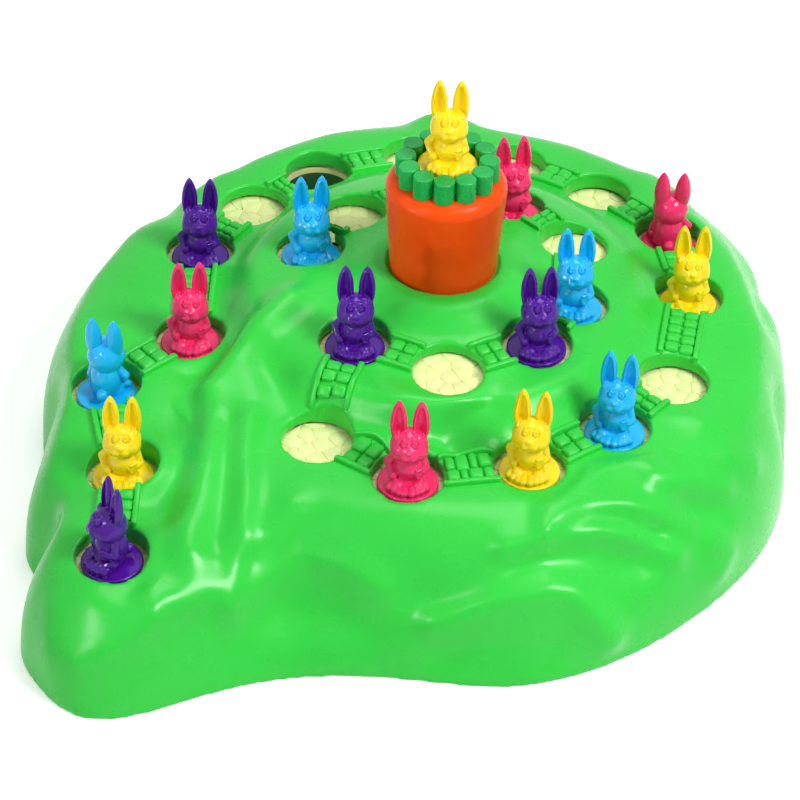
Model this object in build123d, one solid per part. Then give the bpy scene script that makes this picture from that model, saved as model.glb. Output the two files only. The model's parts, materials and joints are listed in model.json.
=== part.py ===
from build123d import *
import math
import os

from scipy.interpolate import CubicSpline, PchipInterpolator

# Rabbit hill: a moulded hill with a spiral of wells, a cream track that turns
# under it when the carrot is turned, and sixteen rabbits that stand in the wells.
# Millimetres. The carrot's axis is the Z axis and the hill stands on Z = 0.
# Angles are degrees about Z, from +X towards +Y. The front is -Y.

# Levels
LOWER_FLOOR_Z = 52.0
FLOOR_STEP = 14.6
COLLAR_RISE = 13.4
START_DROPS = (14.0, 10.0, 6.0)

# Hill
WALL = 2.2
SEAT_DEPTH = 2.0
COLLAR_RADIUS = 26.0
TRACK_GAP = 0.4

# Wells and the rings that they lie on
WELL_RADIUS = 13.75
LOWER_RING_RADIUS = 101.0
UPPER_RING_RADIUS = 55.0
COLLAR_WALL = 1.8

# Turning track
TRACK_THICKNESS = 2.6
LOWER_TRACK_MARGIN = 6.0
UPPER_TRACK_MARGIN = 3.75
RISER_WALL = 2.4
TRAP_OVERSIZE = 0.5

# Start floors
START_FLOOR_THICKNESS = 2.0

# Carrot and its stem
CARROT_BOTTOM_RADIUS = 21.3
CARROT_TOP_RADIUS = 24.3
CARROT_HEIGHT = 42.8
CARROT_WALL = 2.6
CARROT_EDGE = 5.5
CARROT_RECESS_GAP = 1.2
PERCH_RADIUS = 11.0
PERCH_HEIGHT = 3.6
STEM_RADIUS = 8.0
RUNNING_GAP = 0.06
BEARING_WALL = 2.94
HUB_RADIUS = 12.0
HUB_RISE = 3.0
HUB_DROP = 5.0
KEY_ACROSS_FLATS = 11.0
KEY_GAP = 0.05
KEY_SHORT = 0.3

# Leaf crown
PEG_COUNT = 12
PEG_RADIUS = 4.1
PEG_CIRCLE_RADIUS = 16.3
PEG_HEIGHT = 9.2
PEG_EDGE = 0.7
PEG_START_ANGLE = -93.8
CROWN_PLATE = 1.6
CROWN_CLEARANCE = 0.8

# Screws and washer
SCREW_RADIUS = 1.5
SCREW_HEAD_RADIUS = 3.0
SCREW_HEAD_HEIGHT = 1.6
AXLE_SCREW_GRIP = 9.0
WASHER_RADIUS = 9.0
WASHER_THICKNESS = 1.2

# Ratchet wheel with its hub, and the pawl
TOOTH_COUNT = 60
RATCHET_RADIUS = 20.0
TOOTH_DEPTH = 0.9
TOOTH_FALL = 0.001
RATCHET_HEIGHT = 5.0
PAWL_ANGLE = 198.0
PAWL_THICKNESS = 2.2
PAWL_EYE_RADIUS = 4.0
PAWL_PLAY = 0.1
PAWL_NECK = 0.85 * PAWL_EYE_RADIUS
# The pawl's nose and its heel: out from the roots of the teeth, aside
PAWL_NOSE = ((0.3, 0.25), (1.5, 2.9), (4.5, 2.4))
PAWL_HEEL = (2.3, 0.25)
PIVOT_OUT = 7.0
PIVOT_ASIDE = 16.0
PIVOT_SCREW_GRIP = 4.0
SPRING_STRIP = 0.5
SPRING_TIP_OUT = 6.2
SPRING_TIP_ASIDE = -0.5
SPRING_POST_RADIUS = 2.2
SPRING_POST_OUT = 13.5
SPRING_POST_ASIDE = 7.0

# Rabbits: a round foot, and on it a figure whose sizes follow from its height
RABBIT_BASE_RADIUS = 11.75
RABBIT_BASE_HEIGHT = 2.0
RABBIT_BASE_EDGE = 0.5
RABBIT_HEIGHT = 40.0
BODY_RADIUS = 0.153 * RABBIT_HEIGHT
BODY_HALF_HEIGHT = 0.215 * RABBIT_HEIGHT
BODY_BACK = 0.01 * RABBIT_HEIGHT
BODY_Z = 0.24 * RABBIT_HEIGHT
HEAD_RADIUS = 0.175 * RABBIT_HEIGHT
HEAD_HALF_WIDTH = 0.187 * RABBIT_HEIGHT
HEAD_FORWARD = 0.015 * RABBIT_HEIGHT
HEAD_Z = 0.51 * RABBIT_HEIGHT
MUZZLE_RADIUS = 0.06 * RABBIT_HEIGHT
MUZZLE_FORWARD = 0.16 * RABBIT_HEIGHT
MUZZLE_Z = 0.515 * RABBIT_HEIGHT
EAR_HALF_WIDTH = 0.083 * RABBIT_HEIGHT
EAR_HALF_LENGTH = 0.24 * RABBIT_HEIGHT
EAR_THICKNESS = 0.09 * RABBIT_HEIGHT
EAR_EDGE = 0.02 * RABBIT_HEIGHT
EAR_ASIDE = 0.1 * RABBIT_HEIGHT
EAR_BACK = 0.026 * RABBIT_HEIGHT
LIMB_BEVEL = 0.4
ARM_RADIUS = 0.048 * RABBIT_HEIGHT
FOOT_RADIUS = 0.055 * RABBIT_HEIGHT
TAIL_RADIUS = 0.058 * RABBIT_HEIGHT
TAIL_BACK = 0.16 * RABBIT_HEIGHT
TAIL_Z = 0.15 * RABBIT_HEIGHT
# Ends of its limbs: aside, along Y, above the bottom of its foot
SHOULDER = (0.125 * RABBIT_HEIGHT, 0.0, 0.37 * RABBIT_HEIGHT)
HAND = (0.13 * RABBIT_HEIGHT, -0.15 * RABBIT_HEIGHT, 0.235 * RABBIT_HEIGHT)
HEEL = (0.07 * RABBIT_HEIGHT, -0.02 * RABBIT_HEIGHT, 0.085 * RABBIT_HEIGHT)
TOE = (0.11 * RABBIT_HEIGHT, -0.19 * RABBIT_HEIGHT, 0.085 * RABBIT_HEIGHT)

# Levels and radii that follow
UPPER_FLOOR_Z = LOWER_FLOOR_Z + FLOOR_STEP
COLLAR_Z = UPPER_FLOOR_Z + COLLAR_RISE
SEAT_Z = COLLAR_Z - SEAT_DEPTH
CARROT_TOP_Z = SEAT_Z + CARROT_HEIGHT
PERCH_Z = CARROT_TOP_Z + PERCH_HEIGHT
COLLAR_TUBE_RADIUS = WELL_RADIUS + COLLAR_WALL
LOWER_TRACK_RADIUS = LOWER_RING_RADIUS + WELL_RADIUS + LOWER_TRACK_MARGIN
UPPER_TRACK_RADIUS = UPPER_RING_RADIUS + WELL_RADIUS + UPPER_TRACK_MARGIN
TRAP_RADIUS = WELL_RADIUS + TRAP_OVERSIZE
HUB_TOP_Z = UPPER_FLOOR_Z + HUB_RISE
HUB_BOTTOM_Z = UPPER_FLOOR_Z - HUB_DROP
BEARING_BOTTOM_Z = HUB_TOP_Z + TRACK_GAP
RATCHET_TOP_Z = UPPER_FLOOR_Z + RATCHET_HEIGHT
PAWL_TOP_Z = RATCHET_TOP_Z
PAWL_BOTTOM_Z = PAWL_TOP_Z - PAWL_THICKNESS
BOSS_BOTTOM_Z = PAWL_TOP_Z + PAWL_PLAY
ABOVE_ALL_Z = CARROT_TOP_Z + RABBIT_HEIGHT

# Wells, in the order of the path: angle on the ring, and how far off the ring it lies
LOWER_WELLS = {
    4: (194.1, 1.2),
    5: (162.2, 3.1),
    6: (141.5, -0.2),
    7: (121.6, 0.1),
    8: (97.0, 0.0),
    9: (73.2, 0.2),
    10: (50.0, -0.7),
    11: (28.3, 5.0),
    12: (6.3, -0.4),
    13: (-25.4, 0.2),
    14: (-46.7, -2.3),
    15: (-70.2, 1.3),
    16: (-96.1, 4.7),
    17: (-118.5, -4.2),
}
UPPER_WELLS = {
    18: (-128.2, -0.8),
    19: (-87.2, 2.5),
    20: (-46.6, -0.8),
    21: (-14.7, -1.4),
    22: (24.5, 3.0),
    23: (60.2, 0.4),
    24: (97.0, 0.0),
    25: (134.2, -1.7),
    26: (163.9, 0.4),
}
# The first three wells lie on the spur at the front left: angle, distance outside the track
START_WELLS = {1: (-130.6, 63.6), 2: (-141.2, 32.6), 3: (-158.2, 19.2)}
# The traps in the track: one is open under well 7, the others rest under closed ground
LOWER_TRAPS = (121.6, -142.4)
UPPER_TRAPS = (198.0,)

# The hill's rim: angle, reach outside the track, inset of the brow, height of the brow
# below the lower floor
RIM = (
    (-172, 41, 14, 3),
    (-164, 43, 13, 6),
    (-155, 53, 13, 10),
    (-148, 66, 14, 12),
    (-142, 72, 15, 14),
    (-137.5, 90, 16, 14),
    (-132, 101, 18, 15),
    (-127.5, 104, 20, 16),
    (-124, 101, 24, 18),
    (-120.5, 88, 30, 20),
    (-117, 71, 35, 18),
    (-112, 54, 33, 14),
    (-105, 42, 23, 15),
    (-97, 37, 15, 21),
    (-88, 38, 14, 24),
    (-80, 41, 15, 19),
    (-72, 41, 15, 16),
    (-64, 39, 14, 18),
    (-55, 36, 15, 15),
    (-43, 33, 15, 10),
    (-28, 30, 14, 6),
    (-11, 24, 12, 3),
    (3, 23, 12, 1),
    (15, 27, 13, 0),
    (29, 31, 14, -1),
    (45, 32, 14, -1),
    (60, 28, 13, -2),
    (75, 26, 12, -3),
    (87, 28, 13, -3),
    (98, 30, 13, -3),
    (112, 25, 12, -4),
    (125, 23, 12, -4),
    (138, 26, 12, -2),
    (150, 29, 13, -1),
    (165, 32, 13, 0),
)
# Height of the ground above the floors: angle, at the lower wells, at the track's edge,
# at the upper wells
BANKS = (
    (-160, 5.0, 4.0, 6.0),
    (-142, 5.0, 4.0, 6.0),
    (-118, 5.5, 3.8, 5.0),
    (-96, 5.0, 3.6, 4.5),
    (-70, 5.0, 3.6, 4.5),
    (-47, 5.5, 3.8, 5.0),
    (-25, 7.0, 4.5, 6.0),
    (6, 8.0, 6.0, 7.0),
    (28, 9.0, 8.0, 8.5),
    (50, 9.0, 8.5, 9.0),
    (73, 8.5, 8.0, 9.0),
    (97, 8.5, 8.0, 9.0),
    (121, 8.5, 9.0, 9.0),
    (141, 6.0, 6.0, 8.5),
    (162, 5.5, 5.5, 7.0),
    (180, 5.5, 4.5, 6.5),
)
# The spur's spine along the first wells: angle, distance outside the track, height above
# the lower floor
SPUR = (
    (-126.4, 88.0, -12.5),
    (-130.8, 64.3, -9.5),
    (-141.2, 32.5, -5.5),
    (-158.4, 20.2, 0.0),
    (-171.8, 19.7, 1.5),
)
SPUR_WIDTH = 22.0
SPUR_FALL = 3.5
# The ridge between the spur and the front face, in the same way
RIDGE = (
    (-173.2, -70.4, 23.0),
    (-157.8, -49.4, 18.5),
    (-146.7, -29.8, 13.0),
    (-131.0, 1.2, 5.0),
    (-123.5, 42.3, -4.0),
    (-121.5, 66.9, -14.0),
)
RIDGE_WIDTH = 13.0
RIDGE_FALL = 6.0
BLEND = 2.2

# Points round each ring of the hill: closer together on the spur
RING_ANGLES = [-180 + 5 * step for step in range(4)]
RING_ANGLES += [-160 + 3 * step for step in range(20)]
RING_ANGLES += [-100 + 5 * step for step in range(56)]
# Zones of the hill: the skirt, then the ground by the lower wells, the step and the ground
# by the upper wells. Each has its own smooth face through this many rings.
SKIRT_SHARES = (0.0, 0.35, 0.65, 0.85)
LOWER_RINGS = 5
STEP_RINGS = 3
UPPER_RINGS = 6
BROW_MARGIN = 5.0
STEP_FOOT_MARGIN = 1.0
STEP_TOP_MARGIN = 0.5
SPREAD_MARGIN = 11.0
BROW_RADIUS = LOWER_TRACK_RADIUS + BROW_MARGIN
STEP_FOOT_RADIUS = LOWER_RING_RADIUS - WELL_RADIUS + STEP_FOOT_MARGIN
STEP_TOP_RADIUS = UPPER_TRACK_RADIUS + STEP_TOP_MARGIN
SPREAD_RADIUS = LOWER_RING_RADIUS - SPREAD_MARGIN
# The skirt curves in to the brow, and flares where the brow lies far in
SKIRT_CURVE = 2.6
FLARE_CURVE = 1.5
FLARE_FROM_INSET = 15.0
FLARE_FULL_INSET = 25.0
# Runs and falls along the ground, from the carrot's collar out to the brow
COLLAR_FLAT = 4.0
COLLAR_RUN = 8.0
COLLAR_FALL = 2.0
BANK_RUN = 11.0
BANK_RISE = 1.0
SHOULDER_FALL = 0.35
STEP_RUN = 1.5
STEP_CLEARANCE = 0.6
STEP_FOOT_RISE = 2.0
EDGE_RUN = 4.0
EDGE_FALL = 0.5


def around(rows, column):
    """A smooth closed curve through one column of a table whose rows start with an angle."""
    rows = sorted(rows)
    angles = [row[0] for row in rows] + [rows[0][0] + 360]
    values = [row[column] for row in rows] + [rows[0][column]]
    curve = CubicSpline(angles, values, bc_type="periodic")
    return lambda angle: float(curve(rows[0][0] + (angle - rows[0][0]) % 360))


def polar(radius, angle, z=0.0):
    turn = math.radians(angle)
    return Vector(radius * math.cos(turn), radius * math.sin(turn), z)


RIM_REACH = around(RIM, 1)
BROW_INSET = around(RIM, 2)
BROW_DROP = around(RIM, 3)
LOWER_BANK = around(BANKS, 1)
EDGE_BANK = around(BANKS, 2)
UPPER_BANK = around(BANKS, 3)


def brow_radius(angle):
    return LOWER_TRACK_RADIUS + RIM_REACH(angle) - BROW_INSET(angle)


def mound(radius, angle):
    """Height of the round hill, from the carrot's collar out to the brow."""
    lower = LOWER_FLOOR_Z + LOWER_BANK(angle)
    edge = LOWER_FLOOR_Z + EDGE_BANK(angle)
    upper = UPPER_FLOOR_Z + UPPER_BANK(angle)
    inner = upper + BANK_RISE
    brow = max(brow_radius(angle), LOWER_TRACK_RADIUS + BROW_MARGIN + EDGE_RUN / 2)
    profile = (
        (COLLAR_RADIUS - COLLAR_FLAT, COLLAR_Z),
        (COLLAR_RADIUS, COLLAR_Z),
        (COLLAR_RADIUS + COLLAR_RUN, max(COLLAR_Z - COLLAR_FALL, inner)),
        (UPPER_RING_RADIUS - BANK_RUN, inner),
        (UPPER_RING_RADIUS, upper),
        (UPPER_TRACK_RADIUS - EDGE_RUN, upper - SHOULDER_FALL * UPPER_BANK(angle)),
        (UPPER_TRACK_RADIUS + WALL + STEP_RUN, UPPER_FLOOR_Z + TRACK_GAP + WALL + STEP_CLEARANCE),
        (LOWER_RING_RADIUS - WELL_RADIUS, lower + STEP_FOOT_RISE),
        (LOWER_RING_RADIUS, lower),
        (LOWER_TRACK_RADIUS, edge),
        (LOWER_TRACK_RADIUS + EDGE_RUN, edge - EDGE_FALL),
        (brow, LOWER_FLOOR_Z - BROW_DROP(angle)),
    )
    curve = PchipInterpolator([p[0] for p in profile], [p[1] for p in profile])
    return float(curve(min(radius, profile[-1][0])))


def crest(rows):
    """The points of a crest from its table."""
    return [polar(LOWER_TRACK_RADIUS + out, angle, LOWER_FLOOR_Z + rise) for angle, out, rise in rows]


SPUR_CREST = crest(SPUR)
RIDGE_CREST = crest(RIDGE)


def along(points, x, y):
    """Distance in plan from a chain of points, and its height at the nearest place."""
    near = []
    for start, end in zip(points, points[1:]):
        dx, dy = end.X - start.X, end.Y - start.Y
        share = ((x - start.X) * dx + (y - start.Y) * dy) / (dx * dx + dy * dy)
        share = min(max(share, 0.0), 1.0)
        gap = math.hypot(x - start.X - share * dx, y - start.Y - share * dy)
        near.append((gap, start.Z + share * (end.Z - start.Z)))
    return min(near)


def ground(x, y):
    """Height of the hill's top at a place in plan: mound, spur and ridge run into each other."""
    spur_gap, spur_top = along(SPUR_CREST, x, y)
    ridge_gap, ridge_top = along(RIDGE_CREST, x, y)
    heights = (
        mound(math.hypot(x, y), math.degrees(math.atan2(y, x))),
        spur_top - SPUR_FALL * (spur_gap / SPUR_WIDTH) ** 2,
        ridge_top - RIDGE_FALL * (ridge_gap / RIDGE_WIDTH) ** 2,
    )
    top = max(heights)
    return top + BLEND * math.log(sum(math.exp((h - top) / BLEND) for h in heights))


def skirt_points(angle):
    """From the rim on the table up to just under the brow."""
    rim = LOWER_TRACK_RADIUS + RIM_REACH(angle)
    inset = BROW_INSET(angle)
    brow = polar(rim - inset, angle)
    top = ground(brow.X, brow.Y)
    flare = (inset - FLARE_FROM_INSET) / (FLARE_FULL_INSET - FLARE_FROM_INSET)
    flare = min(max(flare, 0.0), 1.0)
    power = SKIRT_CURVE + flare * (FLARE_CURVE - SKIRT_CURVE)
    return [polar(rim - inset * share**power, angle, top * share) for share in SKIRT_SHARES]


def steps_between(start, end, count):
    """Evenly spaced values from start, up to but without end."""
    return [start + (end - start) * step / count for step in range(count)]


def top_points(angle):
    """From the brow in to the carrot's collar. On the spur the rings spread outward."""
    radii = steps_between(BROW_RADIUS, STEP_FOOT_RADIUS, LOWER_RINGS)
    radii += steps_between(STEP_FOOT_RADIUS, STEP_TOP_RADIUS, STEP_RINGS)
    radii += steps_between(STEP_TOP_RADIUS, COLLAR_RADIUS, UPPER_RINGS)
    points = []
    for radius in radii:
        share = min(max((radius - SPREAD_RADIUS) / (BROW_RADIUS - SPREAD_RADIUS), 0.0), 1.0)
        spread = share * share * (3 - 2 * share) * (brow_radius(angle) - BROW_RADIUS)
        place = polar(radius + spread, angle)
        points.append(Vector(place.X, place.Y, ground(place.X, place.Y)))
    points.append(polar(COLLAR_RADIUS, angle, COLLAR_Z))
    return points


def inner_points(rings):
    """The rings moved in by the wall, square to the surface."""
    inner = []
    count = len(RING_ANGLES)
    for level, ring in enumerate(rings):
        below = rings[max(level - 1, 0)]
        above = rings[min(level + 1, len(rings) - 1)]
        moved = []
        for place, point in enumerate(ring):
            round_way = ring[(place + 1) % count] - ring[place - 1]
            up_way = above[place] - below[place]
            moved.append(point - round_way.cross(up_way).normalized() * WALL)
        inner.append(moved)
    foot = [Vector(p.X, p.Y, 0.0) for p in inner[0]]
    inner[0] = foot
    inner.insert(0, [Vector(p.X, p.Y, -WALL) for p in foot])
    cap_z = SEAT_Z - WALL
    inner[-1] = [polar(COLLAR_RADIUS, angle, cap_z) for angle in RING_ANGLES]
    return inner


def ring_solid(rings, zones):
    """A closed solid through the rings: one smooth face a zone, and a flat cap at each end."""
    knots = steps_between(0.0, 1.0, len(RING_ANGLES)) + [1.0]
    wires = [Wire([Edge.make_spline(ring, periodic=True, parameters=knots)]) for ring in rings]
    faces = [Face(wires[0]), Face(wires[-1])]
    first = 0
    for count in zones:
        faces += Shell.make_loft(wires[first : first + count + 1]).faces()
        first += count
    return Solid(Shell(faces))


def hill_rings():
    columns = [skirt_points(angle) + top_points(angle) for angle in RING_ANGLES]
    return [list(ring) for ring in zip(*columns)]


def well_places():
    """Every well as number: (x, y, floor level)."""
    places = {}
    for number, (angle, outside) in START_WELLS.items():
        place = polar(LOWER_TRACK_RADIUS + outside, angle)
        places[number] = (place.X, place.Y, LOWER_FLOOR_Z - START_DROPS[number - 1])
    for number, (angle, off) in LOWER_WELLS.items():
        place = polar(LOWER_RING_RADIUS + off, angle)
        places[number] = (place.X, place.Y, LOWER_FLOOR_Z)
    for number, (angle, off) in UPPER_WELLS.items():
        place = polar(UPPER_RING_RADIUS + off, angle)
        places[number] = (place.X, place.Y, UPPER_FLOOR_Z)
    return places


WELLS = well_places()


def post(x, y, radius, low, high):
    """An upright round bar from one level to another."""
    return Pos(x, y, (low + high) / 2) * Cylinder(radius, high - low)


def pawl_frame():
    """Turns the pawl's own axes, with its nose on +X, to where it sits round the hub."""
    return Rot(0, 0, PAWL_ANGLE)


def pawl_place(out, aside):
    """A point of the pawl's own axes, out from the ratchet's tips, in the hill's axes."""
    place = pawl_frame() * Pos(RATCHET_RADIUS + out, aside, 0)
    return place.position


def hill_shell():
    rings = hill_rings()
    zones = (len(SKIRT_SHARES), LOWER_RINGS, STEP_RINGS, UPPER_RINGS)
    outer = ring_solid(rings, zones)
    cavity = ring_solid(inner_points(rings), (1, *zones))
    pivot = pawl_place(PIVOT_OUT, -PIVOT_ASIDE)
    spring_post = pawl_place(SPRING_POST_OUT, SPRING_POST_ASIDE)
    stays = []
    cuts = [post(0, 0, CARROT_BOTTOM_RADIUS + CARROT_RECESS_GAP, SEAT_Z, ABOVE_ALL_Z)]
    for number, (x, y, floor) in WELLS.items():
        foot = floor if number in START_WELLS else floor + TRACK_GAP
        stays.append(post(x, y, COLLAR_TUBE_RADIUS, foot, ABOVE_ALL_Z))
        cuts.append(post(x, y, WELL_RADIUS, foot - WALL, ABOVE_ALL_Z))
    bearing_radius = STEM_RADIUS + RUNNING_GAP
    stays.append(post(0, 0, bearing_radius + BEARING_WALL, BEARING_BOTTOM_Z, ABOVE_ALL_Z))
    cuts.append(post(0, 0, bearing_radius, HUB_BOTTOM_Z, ABOVE_ALL_Z))
    stays.append(post(pivot.X, pivot.Y, PAWL_EYE_RADIUS, BOSS_BOTTOM_Z, ABOVE_ALL_Z))
    pivot_top = BOSS_BOTTOM_Z + PIVOT_SCREW_GRIP
    cuts.append(post(pivot.X, pivot.Y, SCREW_RADIUS, HUB_BOTTOM_Z, pivot_top))
    stays.append(post(spring_post.X, spring_post.Y, SPRING_POST_RADIUS, PAWL_BOTTOM_Z, ABOVE_ALL_Z))
    cavity = cavity.cut(*stays)
    return outer.cut(cavity).cut(*cuts)


def start_floor(number):
    """A disc fixed under the foot of a start well's collar."""
    x, y, floor = WELLS[number]
    return post(x, y, COLLAR_TUBE_RADIUS, floor - START_FLOOR_THICKNESS, floor)


def lower_track():
    low = LOWER_FLOOR_Z - TRACK_THICKNESS
    ring = post(0, 0, LOWER_TRACK_RADIUS, low, LOWER_FLOOR_Z)
    ring -= post(0, 0, UPPER_TRACK_RADIUS - RISER_WALL, low, LOWER_FLOOR_Z)
    for angle in LOWER_TRAPS:
        place = polar(LOWER_RING_RADIUS, angle)
        ring -= post(place.X, place.Y, TRAP_RADIUS, low, LOWER_FLOOR_Z)
    return ring


def track_riser():
    top = UPPER_FLOOR_Z - TRACK_THICKNESS
    wall = post(0, 0, UPPER_TRACK_RADIUS, LOWER_FLOOR_Z, top)
    return wall - post(0, 0, UPPER_TRACK_RADIUS - RISER_WALL, LOWER_FLOOR_Z, top)


def key_bar(across, low, high):
    hexagon = RegularPolygon(radius=across / 2, side_count=6, major_radius=False)
    return Pos(0, 0, low) * extrude(hexagon, high - low)


def upper_track():
    low = UPPER_FLOOR_Z - TRACK_THICKNESS
    disc = post(0, 0, UPPER_TRACK_RADIUS, low, UPPER_FLOOR_Z)
    disc -= post(0, 0, HUB_RADIUS, low, UPPER_FLOOR_Z)
    for angle in UPPER_TRAPS:
        place = polar(UPPER_RING_RADIUS, angle)
        disc -= post(place.X, place.Y, TRAP_RADIUS, low, UPPER_FLOOR_Z)
    return disc


def carrot_side(shrink, low, high):
    """The carrot's tapered round body, drawn in by a wall."""
    slope = (CARROT_TOP_RADIUS - CARROT_BOTTOM_RADIUS) / CARROT_HEIGHT
    radius_low = CARROT_BOTTOM_RADIUS + slope * (low - SEAT_Z) - shrink
    radius_high = CARROT_BOTTOM_RADIUS + slope * (high - SEAT_Z) - shrink
    return Pos(0, 0, (low + high) / 2) * Cone(radius_low, radius_high, high - low)


def carrot_body():
    body = carrot_side(0.0, SEAT_Z, CARROT_TOP_Z)
    body = fillet(body.edges().group_by(Axis.Z)[-1], CARROT_EDGE)
    body -= carrot_side(CARROT_WALL, SEAT_Z, CARROT_TOP_Z - CARROT_WALL)
    body += post(0, 0, PERCH_RADIUS, CARROT_TOP_Z - CARROT_WALL, PERCH_Z)
    body += post(0, 0, STEM_RADIUS, HUB_TOP_Z, CARROT_TOP_Z)
    body += key_bar(KEY_ACROSS_FLATS, HUB_BOTTOM_Z + KEY_SHORT, HUB_TOP_Z)
    return body - post(0, 0, SCREW_RADIUS, HUB_BOTTOM_Z, HUB_BOTTOM_Z + AXLE_SCREW_GRIP)


def leaf_crown():
    plate_inside = PERCH_RADIUS + CROWN_CLEARANCE
    plate = post(0, 0, PEG_CIRCLE_RADIUS, CARROT_TOP_Z, CARROT_TOP_Z + CROWN_PLATE)
    plate -= post(0, 0, plate_inside, CARROT_TOP_Z, CARROT_TOP_Z + CROWN_PLATE)
    peg = Cylinder(PEG_RADIUS, PEG_HEIGHT)
    peg = fillet(peg.edges().group_by(Axis.Z)[-1], PEG_EDGE)
    clear = post(0, 0, RABBIT_BASE_RADIUS + CROWN_CLEARANCE / 2, PERCH_Z, ABOVE_ALL_Z)
    for step in range(PEG_COUNT):
        angle = PEG_START_ANGLE + 360 * step / PEG_COUNT
        place = polar(PEG_CIRCLE_RADIUS, angle, CARROT_TOP_Z + PEG_HEIGHT / 2)
        plate += Pos(place) * Rot(0, 0, angle) * peg
    return plate - clear


def screw(head_z, length):
    """A screw driven upward: its head hangs below head_z."""
    head = post(0, 0, SCREW_HEAD_RADIUS, head_z - SCREW_HEAD_HEIGHT, head_z)
    return head + post(0, 0, SCREW_RADIUS, head_z, head_z + length)


def axle_washer():
    low = HUB_BOTTOM_Z - WASHER_THICKNESS
    ring = post(0, 0, WASHER_RADIUS, low, HUB_BOTTOM_Z)
    return ring - post(0, 0, SCREW_RADIUS, low, HUB_BOTTOM_Z)


def ratchet_wheel():
    """A saw-toothed wheel on the upper track. Its hub goes through the track to the stem's key."""
    pitch = 360 / TOOTH_COUNT
    corners = []
    for tooth in range(TOOTH_COUNT):
        start = PAWL_ANGLE + tooth * pitch
        corners.append(polar(RATCHET_RADIUS - TOOTH_DEPTH, start))
        corners.append(polar(RATCHET_RADIUS, start + pitch * (1 - TOOTH_FALL)))
    outline = make_face(Polyline(*corners, close=True))
    wheel = Pos(0, 0, UPPER_FLOOR_Z) * extrude(outline, RATCHET_HEIGHT)
    wheel += post(0, 0, HUB_RADIUS, HUB_BOTTOM_Z, UPPER_FLOOR_Z)
    wheel -= post(0, 0, HUB_RADIUS, HUB_TOP_Z, RATCHET_TOP_Z)
    return wheel - key_bar(KEY_ACROSS_FLATS + 2 * KEY_GAP, HUB_BOTTOM_Z, HUB_TOP_Z)


def click_pawl():
    """A lever on its own screw, with a nose that drops between two teeth."""
    root = RATCHET_RADIUS - TOOTH_DEPTH
    pivot_x = RATCHET_RADIUS + PIVOT_OUT
    corners = [(root + out, aside) for out, aside in PAWL_NOSE]
    corners.append((pivot_x + PAWL_NECK, -PIVOT_ASIDE + PAWL_NECK / 2))
    corners.append((pivot_x - PAWL_NECK, -PIVOT_ASIDE - PAWL_NECK / 2))
    corners.append((root + PAWL_HEEL[0], PAWL_HEEL[1]))
    shape = make_face(Polyline(*corners, close=True))
    shape += Pos(pivot_x, -PIVOT_ASIDE) * Circle(PAWL_EYE_RADIUS)
    shape -= Pos(pivot_x, -PIVOT_ASIDE) * Circle(SCREW_RADIUS + RUNNING_GAP)
    return Pos(0, 0, PAWL_BOTTOM_Z) * pawl_frame() * extrude(shape, PAWL_THICKNESS)


def pawl_spring():
    """A ring on the hill's post with a leaf that bears on the pawl's back."""
    post_x = RATCHET_RADIUS + SPRING_POST_OUT
    ring = Pos(post_x, SPRING_POST_ASIDE) * Circle(SPRING_POST_RADIUS + SPRING_STRIP)
    foot = (post_x, SPRING_POST_ASIDE - SPRING_POST_RADIUS - SPRING_STRIP)
    back = (RATCHET_RADIUS - TOOTH_DEPTH + SPRING_TIP_OUT, SPRING_TIP_ASIDE)
    corners = (
        foot,
        back,
        (back[0], back[1] - SPRING_STRIP),
        (foot[0] + SPRING_POST_RADIUS, foot[1] + SPRING_STRIP),
    )
    shape = ring + make_face(Polyline(*corners, close=True))
    shape -= Pos(post_x, SPRING_POST_ASIDE) * Circle(SPRING_POST_RADIUS)
    return Pos(0, 0, PAWL_BOTTOM_Z) * pawl_frame() * extrude(shape, PAWL_THICKNESS)


def limb(start, end, radius):
    """A round bar between two points, bevelled at its end."""
    bar = post(0, 0, radius, 0, (end - start).length)
    bar = chamfer(bar.edges().group_by(Axis.Z)[-1], LIMB_BEVEL * radius)
    return Plane(origin=start, z_dir=end - start) * bar


def egg(radius, half_length):
    """A round solid with an oval outline along Z."""
    half_oval = split(Ellipse(radius, half_length), Plane.YZ)
    return revolve(Plane.XZ * half_oval, Axis.Z)


def ear():
    oval = extrude(Plane.XZ * Ellipse(EAR_HALF_WIDTH, EAR_HALF_LENGTH), EAR_THICKNESS / 2, both=True)
    return chamfer(oval.edges(), EAR_EDGE)


def rabbit():
    """A sitting rabbit on its round foot, facing -Y, the same piece in every colour."""
    figure = Pos(0, 0, RABBIT_BASE_HEIGHT / 2) * Cylinder(RABBIT_BASE_RADIUS, RABBIT_BASE_HEIGHT)
    figure = chamfer(figure.edges().group_by(Axis.Z)[-1], RABBIT_BASE_EDGE)
    figure += Pos(0, BODY_BACK, BODY_Z) * egg(BODY_RADIUS, BODY_HALF_HEIGHT)
    figure += Pos(0, -HEAD_FORWARD, HEAD_Z) * Rot(0, 90, 0) * egg(HEAD_RADIUS, HEAD_HALF_WIDTH)
    figure += Pos(0, -MUZZLE_FORWARD, MUZZLE_Z) * Sphere(MUZZLE_RADIUS)
    figure += Pos(0, TAIL_BACK, TAIL_Z) * Sphere(TAIL_RADIUS)
    for side in (-1, 1):
        shoulder, hand, heel, toe = (
            Vector(side * aside, y, z) for aside, y, z in (SHOULDER, HAND, HEEL, TOE)
        )
        figure += limb(shoulder, hand, ARM_RADIUS)
        figure += limb(heel, toe, FOOT_RADIUS)
        figure += Pos(side * EAR_ASIDE, EAR_BACK, RABBIT_HEIGHT - EAR_HALF_LENGTH) * ear()
    return figure


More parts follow.
